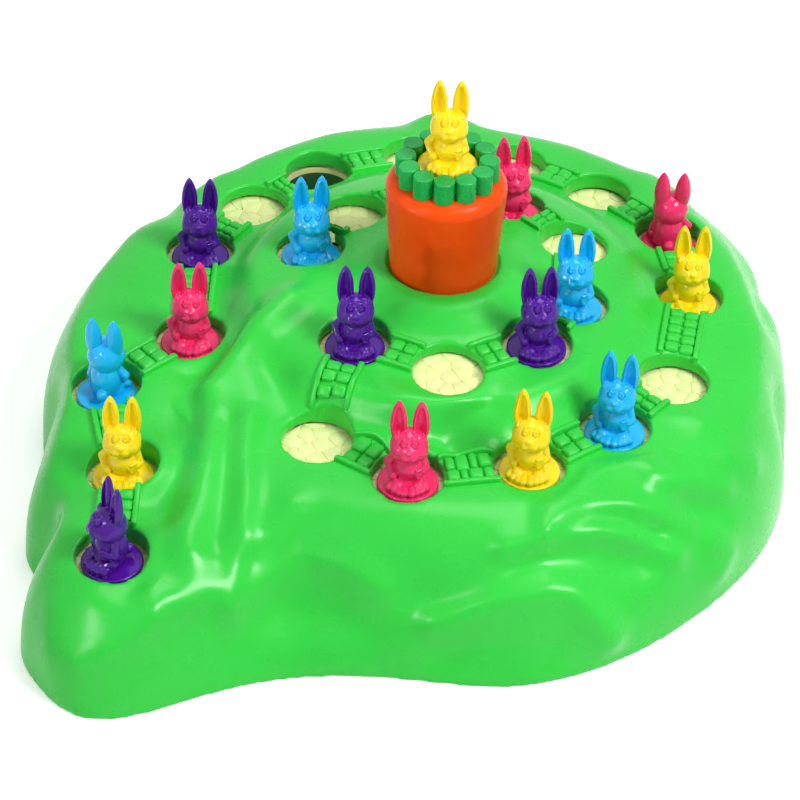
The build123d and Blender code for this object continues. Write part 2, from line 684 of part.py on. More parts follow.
# Where the rabbits stand, and which way each is turned: well number, or 0 for the carrot
RABBITS = {
    "purple": ((1, -90), (5, 0), (18, 0), (20, 10)),
    "blue": ((3, 170), (14, -12), (21, 0), (26, 8)),
    "yellow": ((0, 0), (2, 0), (12, 0), (15, -8)),
    "pink": ((4, 8), (11, 180), (16, 0), (23, 10)),
}


def rabbit_nodes():
    figure = rabbit()
    nodes = {}
    for colour, places in RABBITS.items():
        for count, (well, turn) in enumerate(places, start=1):
            x, y, z = WELLS.get(well, (0.0, 0.0, PERCH_Z))
            nodes[f"{colour}_rabbit_{count}"] = Pos(x, y, z) * Rot(0, 0, turn) * figure
    return nodes


def all_nodes():
    pivot = pawl_place(PIVOT_OUT, -PIVOT_ASIDE)
    pivot_length = PAWL_THICKNESS + PAWL_PLAY + PIVOT_SCREW_GRIP
    washer_bottom = HUB_BOTTOM_Z - WASHER_THICKNESS
    nodes = {
        "hill_shell": hill_shell(),
        "lower_track": lower_track(),
        "track_riser": track_riser(),
        "upper_track": upper_track(),
        "carrot_body": carrot_body(),
        "leaf_crown": leaf_crown(),
        "ratchet_wheel": ratchet_wheel(),
        "click_pawl": click_pawl(),
        "pivot_screw": Pos(pivot.X, pivot.Y) * screw(PAWL_BOTTOM_Z, pivot_length),
        "pawl_spring": pawl_spring(),
        "axle_washer": axle_washer(),
        "axle_screw": screw(washer_bottom, WASHER_THICKNESS + AXLE_SCREW_GRIP),
    }
    for number in START_WELLS:
        nodes[f"start_floor_{number}"] = start_floor(number)
    nodes.update(rabbit_nodes())
    return nodes


os.makedirs("parts", exist_ok=True)
for name, shape in all_nodes().items():
    export_step(shape, f"parts/{name}.step")
    print(name, len(shape.solids()), round(shape.volume))
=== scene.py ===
import json
import math
import random

import bmesh
import bpy
import numpy as np
import openvdb
from mathutils import Matrix, Vector
from mathutils.bvhtree import BVHTree


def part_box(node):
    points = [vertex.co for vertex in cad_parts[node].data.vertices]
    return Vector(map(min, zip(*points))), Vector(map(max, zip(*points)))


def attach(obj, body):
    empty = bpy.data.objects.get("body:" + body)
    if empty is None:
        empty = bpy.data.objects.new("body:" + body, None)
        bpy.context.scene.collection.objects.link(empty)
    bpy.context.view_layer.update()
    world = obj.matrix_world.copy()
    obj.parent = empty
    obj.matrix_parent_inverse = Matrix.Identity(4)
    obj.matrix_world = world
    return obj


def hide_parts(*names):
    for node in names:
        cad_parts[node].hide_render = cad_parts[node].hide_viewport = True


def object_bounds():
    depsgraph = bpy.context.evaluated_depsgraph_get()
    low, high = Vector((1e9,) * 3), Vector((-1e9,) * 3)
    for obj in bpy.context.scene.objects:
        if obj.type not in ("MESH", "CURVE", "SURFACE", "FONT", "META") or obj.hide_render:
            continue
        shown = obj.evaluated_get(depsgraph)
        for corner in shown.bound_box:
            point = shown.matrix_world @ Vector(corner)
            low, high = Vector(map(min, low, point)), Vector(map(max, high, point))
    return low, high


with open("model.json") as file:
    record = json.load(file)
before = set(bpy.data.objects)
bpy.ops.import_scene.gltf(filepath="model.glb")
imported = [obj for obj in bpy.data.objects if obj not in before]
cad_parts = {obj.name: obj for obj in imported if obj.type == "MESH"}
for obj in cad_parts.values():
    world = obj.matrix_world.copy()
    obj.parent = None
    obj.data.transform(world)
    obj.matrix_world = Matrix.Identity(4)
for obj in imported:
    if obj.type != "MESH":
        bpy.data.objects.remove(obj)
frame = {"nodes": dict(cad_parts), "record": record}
cad_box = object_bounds()

# Looks of the rabbit hill: the moulded hill with its folds and path strips, the flagstone
# floors, the carrot and sixteen sculpted rabbits. Metres, in the frame's axes.
MM = 0.001
TINY = 1e-6
DOWN = Vector((0.0, 0.0, -1.0))

# Camera
CAMERA_RISE = 39.3
CAMERA_DISTANCE = 1.3
CAMERA_TARGET = Vector((-0.01525, 0.0, 0.00717))
CAMERA_ROLL = 1.98
CAMERA_LENS = 141.96
CAMERA_SENSOR = 36.0

# The path in its order: a well is where a rabbit stands, or an opening of the frame
PATH = (
    "purple_rabbit_1", "yellow_rabbit_2", "blue_rabbit_1", "pink_rabbit_1", "purple_rabbit_2",
    "well_6", "well_7", "well_8", "well_9", "well_10",
    "pink_rabbit_2", "yellow_rabbit_3", "well_13", "blue_rabbit_2", "yellow_rabbit_4",
    "pink_rabbit_3", "well_17", "purple_rabbit_3", "well_19", "purple_rabbit_4",
    "blue_rabbit_3", "well_22", "pink_rabbit_4", "well_24", "well_25", "blue_rabbit_4",
)
START_WELLS = 3
LAST_LOWER_WELL = 17
TRAP_WELL = 7
WELL_RADIUS = 13.75 * MM

# Hill: the cells of its skin, the rounds and the share of each smoothing, and its faces
HILL_VOXEL = 1.0 * MM
HILL_SOFTENING = 5
GROUND_SOFTENING = 120
SOFTENING_SHARE = 0.5
HILL_FACES = 130000
HILL_FINISH = 2
FINISH_SHARE = 0.4
# How far the folds stay clear of wells, carrot, table and tracks, and fade in, in millimetres
WELL_CLEAR = 1.0
WELL_FADE = 8.0
COLLAR_CLEAR = 24.0
COLLAR_FADE = 8.0
FOOT_FADE = 8.0
TRACK_CLEAR = 0.5
SKIN_CLEAR = 1.5

# Folds of the hill's skin: height, width, and the line of its crest or its hollow, in millimetres
FOLDS = (
    # the ridge between the first wells and the front, and the two crests that run down from it
    (4.0, 7.0, ((-60, -20, 73), (-74, -38, 67), (-88, -59, 60))),
    (2.2, 6.0, ((-90, -64, 59), (-86, -86, 57), (-89, -108, 54), (-93, -125, 51), (-92, -140, 47))),
    (2.4, 5.0, ((-73, -77, 59), (-74, -96, 57), (-72, -116, 53), (-73, -131, 47), (-78, -150, 30))),
    (-1.6, 5.0, ((-81, -79, 59), (-80, -100, 57), (-80, -119, 53), (-82, -135, 48))),
    (-3.5, 10.0, ((-88, -30, 60), (-98, -65, 56), (-102, -91, 53), (-102, -117, 50))),
    (2.2, 6.0, ((-54, -120, 52), (-60, -127, 47), (-67, -131, 44))),
    # the front: a bulge to the left and a bulge to the right, each hollow below
    (4.0, 8.0, ((-77, -148, 24), (-66, -138, 32), (-48, -131, 39), (-32, -136, 38), (-20, -141, 32))),
    (-3.5, 11.0, ((-54, -144, 20), (-39, -145, 20), (-25, -149, 17))),
    (
        4.0, 7.0,
        ((1, -150, 23), (22, -146, 31), (42, -142, 35), (52, -141, 32), (58, -143, 26), (67, -144, 14)),
    ),
    (-4.0, 11.0, ((7, -156, 13), (25, -155, 16), (44, -152, 15))),
    # two crests with a groove between them over the right-hand bulge
    (2.8, 5.5, ((26, -134, 48), (49, -126, 49), (62, -122, 47), (73, -119, 42), (91, -116, 30))),
    (2.4, 5.5, ((41, -126, 52), (51, -119, 53), (62, -114, 53), (72, -111, 50), (96, -106, 37))),
    (-1.8, 4.5, ((46, -126, 50), (57, -119, 51), (69, -116, 49), (83, -113, 40))),
    (-2.0, 7.0, ((31, -138, 43), (46, -133, 44), (61, -127, 41), (77, -123, 33))),
    # knolls and hollows of the right side
    (2.0, 6.0, ((77, -90, 56), (62, -98, 56), (53, -107, 56), (42, -118, 55))),
    (2.4, 6.0, ((82, -97, 54), (98, -93, 48), (110, -88, 41))),
    (-2.4, 8.0, ((96, -100, 42), (107, -97, 35))),
    (2.2, 7.0, ((112, -77, 48), (122, -72, 40))),
    (2.6, 7.0, ((107, -103, 28), (112, -102, 20), (110, -106, 17))),
    (1.5, 7.0, ((94, -62, 57), (101, -66, 56))),
    # the step below the upper wells
    (-4.5, 9.0, ((19, -77, 68), (7, -84, 62), (4, -89, 59))),
    (1.4, 8.0, ((-17, -76, 69), (-8, -72, 70))),
    (3.0, 8.0, ((28, -86, 62), (36, -82, 64))),
    # the spur's nose and its left side
    (1.8, 6.0, ((-105, -155, 40), (-102, -162, 37))),
    (1.8, 6.0, ((-92, -157, 35), (-82, -150, 36))),
    (2.4, 7.0, ((-129, -175, 22), (-118, -173, 27), (-105, -166, 33))),
    (1.8, 8.0, ((-140, -159, 32), (-140, -169, 21))),
    (-5.0, 10.0, ((-151, -117, 30), (-151, -117, 8))),
    (-4.0, 10.0, ((-158, -45, 35), (-158, -45, 8))),
    # the shoulder along the back, with its knolls
    (-5.0, 14.0, ((-118, 70, 52), (-90, 108, 52), (-55, 130, 52), (-25, 138, 52))),
    (-5.0, 14.0, ((20, 142, 52), (60, 130, 52), (95, 105, 52), (120, 70, 52), (138, 20, 50))),
    (3.0, 9.0, ((-5, 134, 56), (8, 136, 56))),
    (2.5, 9.0, ((-105, 78, 54), (-97, 86, 54))),
    (2.5, 9.0, ((92, 98, 54), (98, 92, 54))),
    # hollows down the sides and the back
    (-4.0, 11.0, ((141, -28, 34), (144, -30, 6))),
    (-4.0, 11.0, ((134, 46, 34), (139, 50, 6))),
    (-4.0, 11.0, ((92, 108, 34), (96, 114, 6))),
    (-3.5, 12.0, ((36, 138, 34), (38, 146, 6))),
    (-4.0, 11.0, ((-38, 138, 34), (-40, 146, 6))),
    (-4.0, 12.0, ((-96, 106, 34), (-100, 112, 6))),
    (-4.0, 11.0, ((-138, 40, 34), (-144, 42, 6))),
)

# Path strips: two rails with stones between them, in columns or as cobbles under an arched rail.
# A strip has the number of the well that it starts from.
RAIL_OFFSET = 7.0 * MM
RAIL_WIDTH = 2.2 * MM
RAIL_HEIGHT = 1.9 * MM
RAIL_EDGE = 0.5 * MM
RAIL_END_GAP = 0.4 * MM
RAIL_STEPS = 8
RAIL_ROUNDING = 2
SHARP_EDGE = 0.8
ARCH_RISE = 3.0 * MM
COBBLED = (15, 16)
STONE_PITCH = 5.2 * MM
STONE_HEIGHT = 1.8 * MM
STONE_GAP = 0.2 * MM
STONE_EDGE = 1.4 * MM
STONE_ROUNDING = 4
FEWEST_STONES = 2
STONE_END_GAP = 0.5 * MM
COBBLE_SPREAD = 0.15
SUNK = 1.6 * MM

# Flagstones of the floors
FLAG_DEPTH = 0.4 * MM
FLAG_GAP = 0.5 * MM
FLAG_EDGE = 0.3 * MM
FLAG_ROUNDING = 2
FLAG_RADIUS = 15.2 * MM
FLAG_RIM_POINTS = 40
FLAG_APART = 5.2 * MM
FLAG_TRIES = 400
LEVEL_SLACK = 0.01 * MM
SHARP_TURN = 50

# Rabbit, in millimetres on its own foot, facing -Y
RABBIT_CELL = 0.33
RABBIT_MARGIN = 3 * RABBIT_CELL
BASE_RADIUS = 11.75
BASE_HEIGHT = 2.2
BASE_EDGE = 0.5
RABBIT_HEIGHT = 40.0
HEAD = (0.0, -0.8, 20.4)
HEAD_SIZE = (7.3, 7.0, 6.9)
EAR_FOOT = 22.0
EAR_TIP = RABBIT_HEIGHT - 0.15
EAR_WIDEST = 0.38
TOES = 4
FINGERS = 4
# Turn of each colour's rabbits, in degrees. The first purple one's solid is turned -90.
RABBIT_TURNS = {
    "purple": (-62, 0, 0, 10),
    "blue": (170, -12, 0, 8),
    "yellow": (0, 0, 0, -8),
    "pink": (8, 180, 0, 10),
}

# Colours, as red, green and blue from 0 to 255
COLOURS = {
    "hill_green": (46, 204, 64),
    "floor_cream": (236, 238, 170),
    "carrot_orange": (240, 76, 0),
    "leaf_green": (4, 166, 70),
    "white_plastic": (226, 226, 220),
    "steel": (170, 172, 176),
    "rabbit_purple": (74, 6, 146),
    "rabbit_blue": (8, 182, 248),
    "rabbit_yellow": (255, 218, 0),
    "rabbit_pink": (242, 40, 108),
}
FINISHES = {
    "hill_green": {"rough": 0.28, "mottle": 0.05, "blotch": 18.0, "relief": 0.0, "shine": 0.28},
    "floor_cream": {"rough": 0.5, "mottle": 0.05, "blotch": 60.0, "relief": 0.08},
    "carrot_orange": {"rough": 0.3, "mottle": 0.08, "blotch": 40.0, "shine": 0.12},
    "leaf_green": {"rough": 0.26, "mottle": 0.08, "blotch": 90.0},
    "white_plastic": {"rough": 0.4},
    "steel": {"rough": 0.3, "grain": 1600.0, "metal": 1.0, "shine": 0.5},
    "rabbit_purple": {"rough": 0.1, "blotch": 120.0, "relief": 0.015, "shine": 0.28},
    "rabbit_blue": {"rough": 0.1, "blotch": 120.0, "relief": 0.015},
    "rabbit_yellow": {"rough": 0.12, "blotch": 120.0, "relief": 0.015},
    "rabbit_pink": {"rough": 0.1, "blotch": 120.0, "relief": 0.015},
}
# The middle of a noise, how far the gloss varies, how much finer scuffs are than blotches
NOISE_LOW = 0.3
NOISE_HIGH = 0.7
GLOSS_LOW = 0.88
GLOSS_HIGH = 1.18
SCUFF_SCALE = 6
PALE_SHARE = 0.1
GRAIN_DEPTH = 0.2 * MM

# Studio
WHITE = (1.0, 1.0, 1.0, 1.0)
FLOOR_COLOUR = (0.9, 0.9, 0.9, 1.0)
FLOOR_ROUGH = 0.9
FLOOR_GLOW = 0.45
LAMP_TARGET = (0.0, 0.0, 0.05)


def well_place(name):
    """Middle of a well in plan, read from the frame."""
    if name in frame["nodes"]:
        low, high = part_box(name)
    else:
        openings = frame["record"]["physics"]["openings"]
        found = next(opening for opening in openings if opening["name"] == name)
        low, high = (Vector(corner) for corner in found["box_m"])
    middle = (low + high) / 2
    return Vector((middle.x, middle.y, 0.0))


WELLS = {number: well_place(name) for number, name in enumerate(PATH, start=1)}
LOWER_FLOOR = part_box("lower_track")[1].z
UPPER_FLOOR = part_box("purple_rabbit_3")[0].z


def floor_level(number):
    if number <= START_WELLS:
        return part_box(f"start_floor_{number}")[1].z
    return LOWER_FLOOR if number <= LAST_LOWER_WELL else UPPER_FLOOR


# Materials


def linear(colour):
    """A colour's 0 to 255 values as the shader's light values."""
    shares = [value / 255 for value in colour]
    return [s / 12.92 if s <= 0.04045 else ((s + 0.055) / 1.055) ** 2.4 for s in shares]


def noise(nodes, links, place, scale, detail):
    node = nodes.new("ShaderNodeTexNoise")
    node.inputs["Scale"].default_value = scale
    node.inputs["Detail"].default_value = detail
    links.new(place, node.inputs["Vector"])
    return node.outputs["Fac"]


def spread(nodes, links, value, low, high):
    """Stretches the middle of a noise over the range from low to high."""
    node = nodes.new("ShaderNodeMapRange")
    node.inputs["From Min"].default_value = NOISE_LOW
    node.inputs["From Max"].default_value = NOISE_HIGH
    node.inputs["To Min"].default_value = low
    node.inputs["To Max"].default_value = high
    links.new(value, node.inputs["Value"])
    return node.outputs["Result"]


def tint(nodes, links, share, dark, light):
    node = nodes.new("ShaderNodeMix")
    node.data_type = "RGBA"
    node.inputs["A"].default_value = (*dark, 1.0)
    node.inputs["B"].default_value = (*light, 1.0)
    links.new(share, node.inputs["Factor"])
    return node.outputs["Result"]


def finish_material(
    slot, rough, mottle=0.06, blotch=30.0, grain=900.0, relief=0.05, metal=0.0, shine=0.35
):
    """Moulded plastic, or metal: mottled colour, uneven gloss and a fine grain."""
    material = bpy.data.materials.new(slot)
    material.use_nodes = True
    nodes, links = material.node_tree.nodes, material.node_tree.links
    shader = nodes["Principled BSDF"]
    place = nodes.new("ShaderNodeTexCoord").outputs["Object"]
    colour = linear(COLOURS[slot])
    clouds = spread(nodes, links, noise(nodes, links, place, blotch, 3.0), 0.0, 1.0)
    dark = [value * (1 - mottle) for value in colour]
    light = [min(1.0, value * (1 + mottle) + PALE_SHARE * mottle) for value in colour]
    links.new(tint(nodes, links, clouds, dark, light), shader.inputs["Base Color"])
    scuffs = noise(nodes, links, place, blotch * SCUFF_SCALE, 4.0)
    gloss = spread(nodes, links, scuffs, rough * GLOSS_LOW, rough * GLOSS_HIGH)
    links.new(gloss, shader.inputs["Roughness"])
    bump = nodes.new("ShaderNodeBump")
    bump.inputs["Strength"].default_value = relief
    bump.inputs["Distance"].default_value = GRAIN_DEPTH
    links.new(noise(nodes, links, place, grain, 2.0), bump.inputs["Height"])
    links.new(bump.outputs["Normal"], shader.inputs["Normal"])
    shader.inputs["Metallic"].default_value = metal
    shader.inputs["Specular IOR Level"].default_value = shine
    return material


MATERIALS = {slot: finish_material(slot, **finish) for slot, finish in FINISHES.items()}


def paint(obj, slot):
    obj.data.materials.clear()
    obj.data.materials.append(MATERIALS[slot])


# Mesh helpers


def add_object(name, mesh):
    obj = bpy.data.objects.new(name, mesh)
    bpy.context.scene.collection.objects.link(obj)
    return obj


def add_piece(name, mesh, slot, body, *nodes):
    """A finished piece that stands for its CAD nodes and moves with their body."""
    obj = add_object(name, mesh)
    paint(obj, slot)
    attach(obj, body)
    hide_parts(*nodes)


def with_modifiers(mesh, *settings):
    """The mesh after a stack of modifiers, each given as its type and its values."""
    obj = add_object("working", mesh)
    for kind, values in settings:
        modifier = obj.modifiers.new(kind, kind)
        for key, value in values.items():
            setattr(modifier, key, value)
    view = bpy.context.evaluated_depsgraph_get()
    result = bpy.data.meshes.new_from_object(obj.evaluated_get(view))
    bpy.data.objects.remove(obj)
    return result


def remeshed(mesh, voxel, softening):
    return with_modifiers(
        mesh,
        ("REMESH", {"mode": "VOXEL", "voxel_size": voxel}),
        ("SMOOTH", {"factor": SOFTENING_SHARE, "iterations": softening}),
    )


def thinned(mesh, faces):
    triangles = sum(len(face.vertices) - 2 for face in mesh.polygons)
    return with_modifiers(mesh, ("DECIMATE", {"ratio": min(1.0, faces / triangles)}))


def joined(*meshes):
    work = bmesh.new()
    for mesh in meshes:
        work.from_mesh(mesh)
    result = bpy.data.meshes.new("joined")
    work.to_mesh(result)
    work.free()
    return result


def round_edges(work, edges, size, segments):
    bmesh.ops.bevel(work, geom=list(edges), offset=size, segments=segments, affect="EDGES", profile=0.5)


def vertex_array(collection, key):
    values = np.empty(len(collection) * 3, dtype=np.float32)
    collection.foreach_get(key, values)
    return values.reshape(-1, 3)


# Hill


def smooth_step(values):
    values = np.clip(values, 0.0, 1.0)
    return values * values * (3 - 2 * values)


def gap_to_chain(points, chain):
    """Distance of each point from a chain of straight runs."""
    best = np.full(len(points), np.inf, dtype=np.float32)
    for start, end in zip(chain, chain[1:]):
        start, way = np.array(start), np.subtract(end, start)
        share = np.clip((points - start) @ way / (way @ way), 0, 1)
        gap = np.linalg.norm(points - start - share[:, None] * way, axis=1)
        best = np.minimum(best, gap)
    return best


def open_ground(points):
    """How freely the skin may move at each point: not by the wells, the carrot or the table."""
    clear = np.full(len(points), np.inf)
    for place in WELLS.values():
        gap = np.hypot(points[:, 0] - place.x / MM, points[:, 1] - place.y / MM)
        clear = np.minimum(clear, gap)
    share = smooth_step((clear - WELL_RADIUS / MM - WELL_CLEAR) / WELL_FADE)
    share *= smooth_step((np.hypot(points[:, 0], points[:, 1]) - COLLAR_CLEAR) / COLLAR_FADE)
    return share * smooth_step(points[:, 2] / FOOT_FADE)


def soften_ground(mesh):
    """Smooths the open ground and leaves the edges of the wells."""
    softening = {"factor": SOFTENING_SHARE, "iterations": GROUND_SOFTENING}
    soft = with_modifiers(mesh.copy(), ("SMOOTH", softening))
    points = vertex_array(mesh.vertices, "co")
    share = open_ground(points / MM)[:, None]
    points += (vertex_array(soft.vertices, "co") - points) * share
    mesh.vertices.foreach_set("co", points.astype(np.float32).ravel())
    mesh.update()


def fold_skin(mesh):
    """Raises and hollows the open ground along the folds, clear of the turning tracks."""
    points = vertex_array(mesh.vertices, "co") / MM
    normals = vertex_array(mesh.vertex_normals, "vector")
    outward = points / (np.hypot(points[:, 0], points[:, 1])[:, None] + TINY)
    outward[:, 2] = 1.0
    side = np.sign((normals * outward).sum(1))
    rise = np.zeros(len(points))
    for height, width, chain in FOLDS:
        rise += height * np.exp(-((gap_to_chain(points, chain) / width) ** 2))
    share = open_ground(points)
    points += normals * (side * rise * share)[:, None]
    radius = np.hypot(points[:, 0], points[:, 1])
    for node in ("lower_track", "upper_track"):
        low, high = (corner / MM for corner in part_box(node))
        over = (share > 0) & (radius < high.x + TRACK_CLEAR) & (points[:, 2] > low.z)
        least = high.z + np.where(side > 0, SKIN_CLEAR, TRACK_CLEAR)
        points[over, 2] = np.maximum(points[over, 2], least[over])
    points[:, 2] = np.maximum(points[:, 2], 0.0)
    mesh.vertices.foreach_set("co", (points * MM).astype(np.float32).ravel())
    mesh.update()


def bar(work, sections):
    """A closed bar through four-cornered sections, with rounded edges along it."""
    rings = [[work.verts.new(corner) for corner in section] for section in sections]
    faces = []
    for ring, following in zip(rings, rings[1:]):
        for corner in range(4):
            beside = (corner + 1) % 4
            corners = (ring[corner], ring[beside], following[beside], following[corner])
            faces.append(work.faces.new(corners))
    faces.append(work.faces.new(rings[0][::-1]))
    faces.append(work.faces.new(rings[-1]))
    bmesh.ops.recalc_face_normals(work, faces=faces)
    edges = {edge for face in faces for edge in face.edges if edge.calc_face_angle(0.0) > SHARP_EDGE}
    round_edges(work, edges, RAIL_EDGE, RAIL_ROUNDING)


class Strip:
    """The strip of path between two wells, laid on the hill's ground."""

    def __init__(self, tree, number):
        self.tree = tree
        self.number = number
        self.start = WELLS[number]
        end = WELLS[number + 1]
        self.span = (end - self.start).length
        self.way = (end - self.start).normalized()
        self.side = Vector((-self.way.y, self.way.x, 0.0))

    def place(self, along, aside, z):
        spot = self.start + self.way * along + self.side * aside
        return Vector((spot.x, spot.y, z))

    def ground(self, along, aside):
        above = self.place(along, aside, cad_box[1][2])
        hit = self.tree.ray_cast(above, DOWN)[0]
        return hit.z if hit else None

    def rail(self, work, side, arch):
        reach = math.sqrt(WELL_RADIUS**2 - RAIL_OFFSET**2) + RAIL_END_GAP
        sections = []
        for step in range(RAIL_STEPS + 1):
            share = step / RAIL_STEPS
            along = reach + (self.span - 2 * reach) * share
            aside = side * (RAIL_OFFSET + arch * math.sin(math.pi * share))
            edges = (aside - RAIL_WIDTH / 2, aside + RAIL_WIDTH / 2)
            levels = [self.ground(along, spot) for spot in (*edges, aside)]
            levels = [level for level in levels if level is not None]
            if levels:
                low, high = min(levels) - SUNK, max(levels) + RAIL_HEIGHT
                corners = ((edges[0], low), (edges[1], low), (edges[1], high), (edges[0], high))
                sections.append([self.place(along, spot, level) for spot, level in corners])
        if len(sections) > 1:
            bar(work, sections)

    def stone(self, work, along, aside, length, width):
        level = self.ground(along, aside)
        if level is None:
            return
        before = self.ground(along - length / 2, aside) or level
        beyond = self.ground(along + length / 2, aside) or level
        slope = math.atan2(beyond - before, length)
        spot = self.place(along, aside, level + (STONE_HEIGHT - SUNK) / 2)
        turn = Matrix((self.way, self.side, (0.0, 0.0, 1.0))).transposed().to_4x4()
        grow = Matrix.Diagonal((length - STONE_GAP, width - STONE_GAP, SUNK + STONE_HEIGHT, 1.0))
        lay = Matrix.Translation(spot) @ turn @ Matrix.Rotation(-slope, 4, "Y") @ grow
        corners = bmesh.ops.create_cube(work, size=1.0, matrix=lay)["verts"]
        edges = {edge for corner in corners for edge in corner.link_edges}
        round_edges(work, edges, STONE_EDGE, STONE_ROUNDING)

    def columns(self, work, clear, width):
        """Pairs of like stones."""
        rows = max(FEWEST_STONES, round(clear / STONE_PITCH))
        for row in range(rows):
            along = WELL_RADIUS + STONE_END_GAP + clear * (row + 0.5) / rows
            for side in (-1, 1):
                self.stone(work, along, side * width / 2, clear / rows, width)

    def cobbles(self, work, clear, width):
        """Two courses of uneven stones, wider under the arch."""
        draw = random.Random(self.number)
        rows = max(FEWEST_STONES, round(clear / STONE_PITCH))
        for side in (-1, 1):
            cuts = [0.0]
            for row in range(1, rows):
                cuts.append((row + draw.uniform(-COBBLE_SPREAD, COBBLE_SPREAD)) / rows)
            cuts.append(1.0)
            for low, high in zip(cuts, cuts[1:]):
                middle = (low + high) / 2
                arch = ARCH_RISE * math.sin(math.pi * middle) if side < 0 else 0.0
                along = WELL_RADIUS + STONE_END_GAP + clear * middle
                across = width + arch
                self.stone(work, along, side * across / 2, clear * (high - low), across)

    def add(self, work):
        cobbled = self.number in COBBLED
        self.rail(work, -1, ARCH_RISE if cobbled else 0.0)
        self.rail(work, 1, 0.0)
        clear = self.span - 2 * WELL_RADIUS - 2 * STONE_END_GAP
        width = RAIL_OFFSET - RAIL_WIDTH / 2
        if cobbled:
            self.cobbles(work, clear, width)
        else:
            self.columns(work, clear, width)


def moulded_hill():
    """The frame's hill with softened ground and folds, and the path strips moulded on."""
    skin = remeshed(frame["nodes"]["hill_shell"].data.copy(), HILL_VOXEL, HILL_SOFTENING)
    soften_ground(skin)
    fold_skin(skin)
    corners = [Vector(point) for point in vertex_array(skin.vertices, "co")]
    tree = BVHTree.FromPolygons(corners, [face.vertices[:] for face in skin.polygons])
    work = bmesh.new()
    for number in range(1, len(PATH)):
        Strip(tree, number).add(work)
    strips = bpy.data.meshes.new("strips")
    work.to_mesh(strips)
    work.free()
    finish = {"factor": FINISH_SHARE, "iterations": HILL_FINISH}
    skin = with_modifiers(thinned(skin, HILL_FACES), ("SMOOTH", finish))
    mesh = joined(skin, strips)
    mesh.shade_smooth()
    return mesh


# Floors


def flagstone(work, outline, level):
    """A low stone with a softened top edge over a closed outline."""
    foot = [work.verts.new((x, y, level - FLAG_DEPTH)) for x, y in outline]
    face = work.faces.new(foot)
    top = bmesh.ops.extrude_face_region(work, geom=[face])["geom"]
    raised = [item for item in top if isinstance(item, bmesh.types.BMVert)]
    bmesh.ops.translate(work, verts=raised, vec=(0.0, 0.0, FLAG_DEPTH))
    cap = next(item for item in top if isinstance(item, bmesh.types.BMFace))
    round_edges(work, cap.edges, FLAG_EDGE, FLAG_ROUNDING)


def near_part(outline, spot, way):
    """The part of an outline on the near side of the line that crosses a way at a spot."""
    kept = []
    for here, following in zip(outline, outline[1:] + outline[:1]):
        before, after = (here - spot).dot(way), (following - spot).dot(way)
        if before <= 0:
            kept.append(here)
        if before * after < 0:
            kept.append(here.lerp(following, before / (before - after)))
    return kept


def flagstones(work, number):
    """Uneven stones that fill one floor: each is the ground nearest to a scattered spot."""
    draw = random.Random(number)
    middle = WELLS[number].to_2d()
    spots = []
    for _ in range(FLAG_TRIES):
        spot = Vector([draw.uniform(-FLAG_RADIUS, FLAG_RADIUS) for axis in "xy"])
        if spot.length < FLAG_RADIUS and all((spot - other).length > FLAG_APART for other in spots):
            spots.append(spot)
    turns = [math.tau * step / FLAG_RIM_POINTS for step in range(FLAG_RIM_POINTS)]
    rim = [Vector((math.cos(turn), math.sin(turn))) for turn in turns]
    for spot in spots:
        outline = [point * FLAG_RADIUS for point in rim]
        for other in spots:
            if other is not spot:
                way = (other - spot).normalized()
                outline = near_part(outline, (spot + other) / 2 - way * FLAG_GAP / 2, way)
        flagstone(work, [middle + point for point in outline], floor_level(number))


def stone_floor(node, numbers, level):
    """A CAD floor with its top sunk by the stones' height, and the stones laid on it."""
    plate = frame["nodes"][node].data.copy()
    for vertex in plate.vertices:
        if abs(vertex.co.z - level) < LEVEL_SLACK:
            vertex.co.z -= FLAG_DEPTH
    work = bmesh.new()
    for number in numbers:
        flagstones(work, number)
    stones = bpy.data.meshes.new("stones")
    bmesh.ops.recalc_face_normals(work, faces=work.faces)
    work.to_mesh(stones)
    work.free()
    mesh = joined(plate, stones)
    mesh.shade_smooth()
    mesh.set_sharp_from_angle(angle=math.radians(SHARP_TURN))
    return mesh


# Rabbits


def ball(p, centre, radii):
    """Distance field of an egg shape."""
    near = [(axis - c) / r for axis, c, r in zip(p, centre, radii)]
    steep = [value / r for value, r in zip(near, radii)]
    size = np.sqrt(sum(value**2 for value in near))
    slope = np.sqrt(sum(value**2 for value in steep)) + TINY
    return size * (size - 1) / slope


def rod(p, start, end, start_radius, end_radius):
    """Distance field of a round-ended bar that may taper."""
    way = [b - a for a, b in zip(start, end)]
    offset = [axis - a for axis, a in zip(p, start)]
    share = np.clip(sum(a * b for a, b in zip(offset, way)) / sum(w * w for w in way), 0, 1)
    gap = np.sqrt(sum((a - share * w) ** 2 for a, w in zip(offset, way)))
    return gap - (start_radius + share * (end_radius - start_radius))


def join(a, b, soft):
    """The two shapes run into each other over a soft seam."""
    share = np.clip(0.5 + 0.5 * (b - a) / soft, 0, 1)
    return b + (a - b) * share - soft * share * (1 - share)


def carve(a, b, soft):
    """The first shape with the second cut out of it."""
    return -join(-a, b, soft)


def on_head(turn, rise, depth):
    """A point of the head's skin, or that deep under it, by its angles from straight ahead."""
    turn, rise = math.radians(turn), math.radians(rise)
    sizes = [size - depth for size in HEAD_SIZE]
    return (
        HEAD[0] + sizes[0] * math.cos(rise) * math.sin(turn),
        HEAD[1] - sizes[1] * math.cos(rise) * math.cos(turn),
        HEAD[2] + sizes[2] * math.sin(rise),
    )


def rabbit_base(p):
    x, y, z = p
    radius = np.sqrt(x * x + y * y)
    half = BASE_HEIGHT / 2
    wide = np.maximum(radius - BASE_RADIUS + BASE_EDGE, 0)
    tall = np.maximum(abs(z - half) - half + BASE_EDGE, 0)
    return np.sqrt(wide**2 + tall**2) - BASE_EDGE


